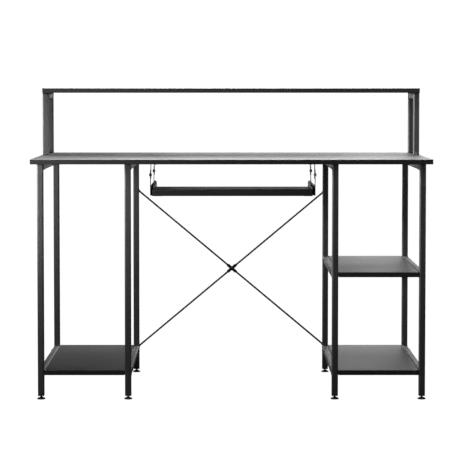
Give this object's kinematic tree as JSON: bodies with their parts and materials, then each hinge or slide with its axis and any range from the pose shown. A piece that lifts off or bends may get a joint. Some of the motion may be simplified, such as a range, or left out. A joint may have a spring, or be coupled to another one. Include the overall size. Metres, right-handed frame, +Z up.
{
  "type": "computer desk with keyboard tray",
  "caption": "Black open-frame desk with a raised rear shelf, two side bays with shelves, a sliding keyboard tray and a cross brace.",
  "frame": {"origin": "on the floor, below the middle of the tabletop", "axes": "+X along the desk to the right as seen from the front, +Y to the back, +Z up"},
  "size_m": [1.2, 0.6, 0.936],
  "materials": {
    "black_laminate": "black melamine on particle board, satin, fine embossed grain",
    "black_powder_coat": "black powder coat, fine texture, satin",
    "foot_plastic": "moulded black plastic",
    "plug_plastic": "moulded black plastic",
    "black_fasteners": "black-plated steel, semi-gloss",
    "zinc_fasteners": "bright zinc",
    "slide_steel": "black electro-coated steel strip",
    "cage_steel": "zinc-plated strip",
    "ball_steel": "polished bearing steel, greased"
  },
  "bodies": {
    "desk": {"board_inserts": "zinc_fasteners", "brace_fasteners": "black_fasteners", "brace_rod_a": "black_powder_coat", "brace_rod_b": "black_powder_coat", "foot_inserts": "plug_plastic", "frame_bolts": "black_fasteners", "hanger_bolts": "black_fasteners", "hanger_screws": "zinc_fasteners", "hanger_side_plates": "black_powder_coat", "hanger_top_plates": "black_powder_coat", "left_inner_back_leg": "black_powder_coat", "left_inner_front_leg": "black_powder_coat", "left_inner_lower_rail": "black_powder_coat", "left_inner_top_rail": "black_powder_coat", "left_lower_shelf": "black_laminate", "left_outer_back_leg": "black_powder_coat", "left_outer_front_leg": "black_powder_coat", "left_outer_lower_rail": "black_powder_coat", "left_outer_top_rail": "black_powder_coat", "left_riser_back_post": "black_powder_coat", "left_riser_front_post": "black_powder_coat", "left_riser_top_rail": "black_powder_coat", "left_slide_outer": "slide_steel", "right_inner_back_leg": "black_powder_coat", "right_inner_front_leg": "black_powder_coat", "right_inner_lower_rail": "black_powder_coat", "right_inner_middle_rail": "black_powder_coat", "right_inner_top_rail": "black_powder_coat", "right_lower_shelf": "black_laminate", "right_middle_shelf": "black_laminate", "right_outer_back_leg": "black_powder_coat", "right_outer_front_leg": "black_powder_coat", "right_outer_lower_rail": "black_powder_coat", "right_outer_middle_rail": "black_powder_coat", "right_outer_top_rail": "black_powder_coat", "right_riser_back_post": "black_powder_coat", "right_riser_front_post": "black_powder_coat", "right_riser_top_rail": "black_powder_coat", "right_slide_outer": "slide_steel", "riser_post_caps": "plug_plastic", "slide_rear_stops": "plug_plastic", "tabletop": "black_laminate", "top_shelf": "black_laminate"},
    "tray": {"tray_board": "black_laminate", "tray_front_lip": "black_laminate", "tray_screws": "zinc_fasteners", "left_slide_inner": "slide_steel", "right_slide_inner": "slide_steel"},
    "left_ball_cage": {"left_slide_cage": "cage_steel", "left_slide_balls": "ball_steel"},
    "right_ball_cage": {"right_slide_cage": "cage_steel", "right_slide_balls": "ball_steel"},
    "left_inner_back_foot": {"left_inner_back_foot": "foot_plastic"},
    "left_inner_front_foot": {"left_inner_front_foot": "foot_plastic"},
    "left_outer_back_foot": {"left_outer_back_foot": "foot_plastic"},
    "left_outer_front_foot": {"left_outer_front_foot": "foot_plastic"},
    "right_inner_back_foot": {"right_inner_back_foot": "foot_plastic"},
    "right_inner_front_foot": {"right_inner_front_foot": "foot_plastic"},
    "right_outer_back_foot": {"right_outer_back_foot": "foot_plastic"},
    "right_outer_front_foot": {"right_outer_front_foot": "foot_plastic"}
  },
  "joints": [
    {"name": "tray_slide", "type": "slide", "parent": "desk", "child": "tray", "axis": [0, -1, 0], "range_m": [0, 0.225]},
    {"name": "left_cage_slide", "type": "slide", "parent": "desk", "child": "left_ball_cage", "axis": [0, -1, 0], "range_m": [0, 0.1125]},
    {"name": "right_cage_slide", "type": "slide", "parent": "desk", "child": "right_ball_cage", "axis": [0, -1, 0], "range_m": [0, 0.1125]},
    {"name": "left_inner_back_foot_screw", "type": "slide", "parent": "desk", "child": "left_inner_back_foot", "axis": [0, 0, -1], "range_m": [0, 0.01]},
    {"name": "left_inner_front_foot_screw", "type": "slide", "parent": "desk", "child": "left_inner_front_foot", "axis": [0, 0, -1], "range_m": [0, 0.01]},
    {"name": "left_outer_back_foot_screw", "type": "slide", "parent": "desk", "child": "left_outer_back_foot", "axis": [0, 0, -1], "range_m": [0, 0.01]},
    {"name": "left_outer_front_foot_screw", "type": "slide", "parent": "desk", "child": "left_outer_front_foot", "axis": [0, 0, -1], "range_m": [0, 0.01]},
    {"name": "right_inner_back_foot_screw", "type": "slide", "parent": "desk", "child": "right_inner_back_foot", "axis": [0, 0, -1], "range_m": [0, 0.01]},
    {"name": "right_inner_front_foot_screw", "type": "slide", "parent": "desk", "child": "right_inner_front_foot", "axis": [0, 0, -1], "range_m": [0, 0.01]},
    {"name": "right_outer_back_foot_screw", "type": "slide", "parent": "desk", "child": "right_outer_back_foot", "axis": [0, 0, -1], "range_m": [0, 0.01]},
    {"name": "right_outer_front_foot_screw", "type": "slide", "parent": "desk", "child": "right_outer_front_foot", "axis": [0, 0, -1], "range_m": [0, 0.01]}
  ],
  "couplings": [
    {"joint": "left_cage_slide", "follows": "tray_slide", "ratio": 0.5},
    {"joint": "right_cage_slide", "follows": "tray_slide", "ratio": 0.5}
  ]
}
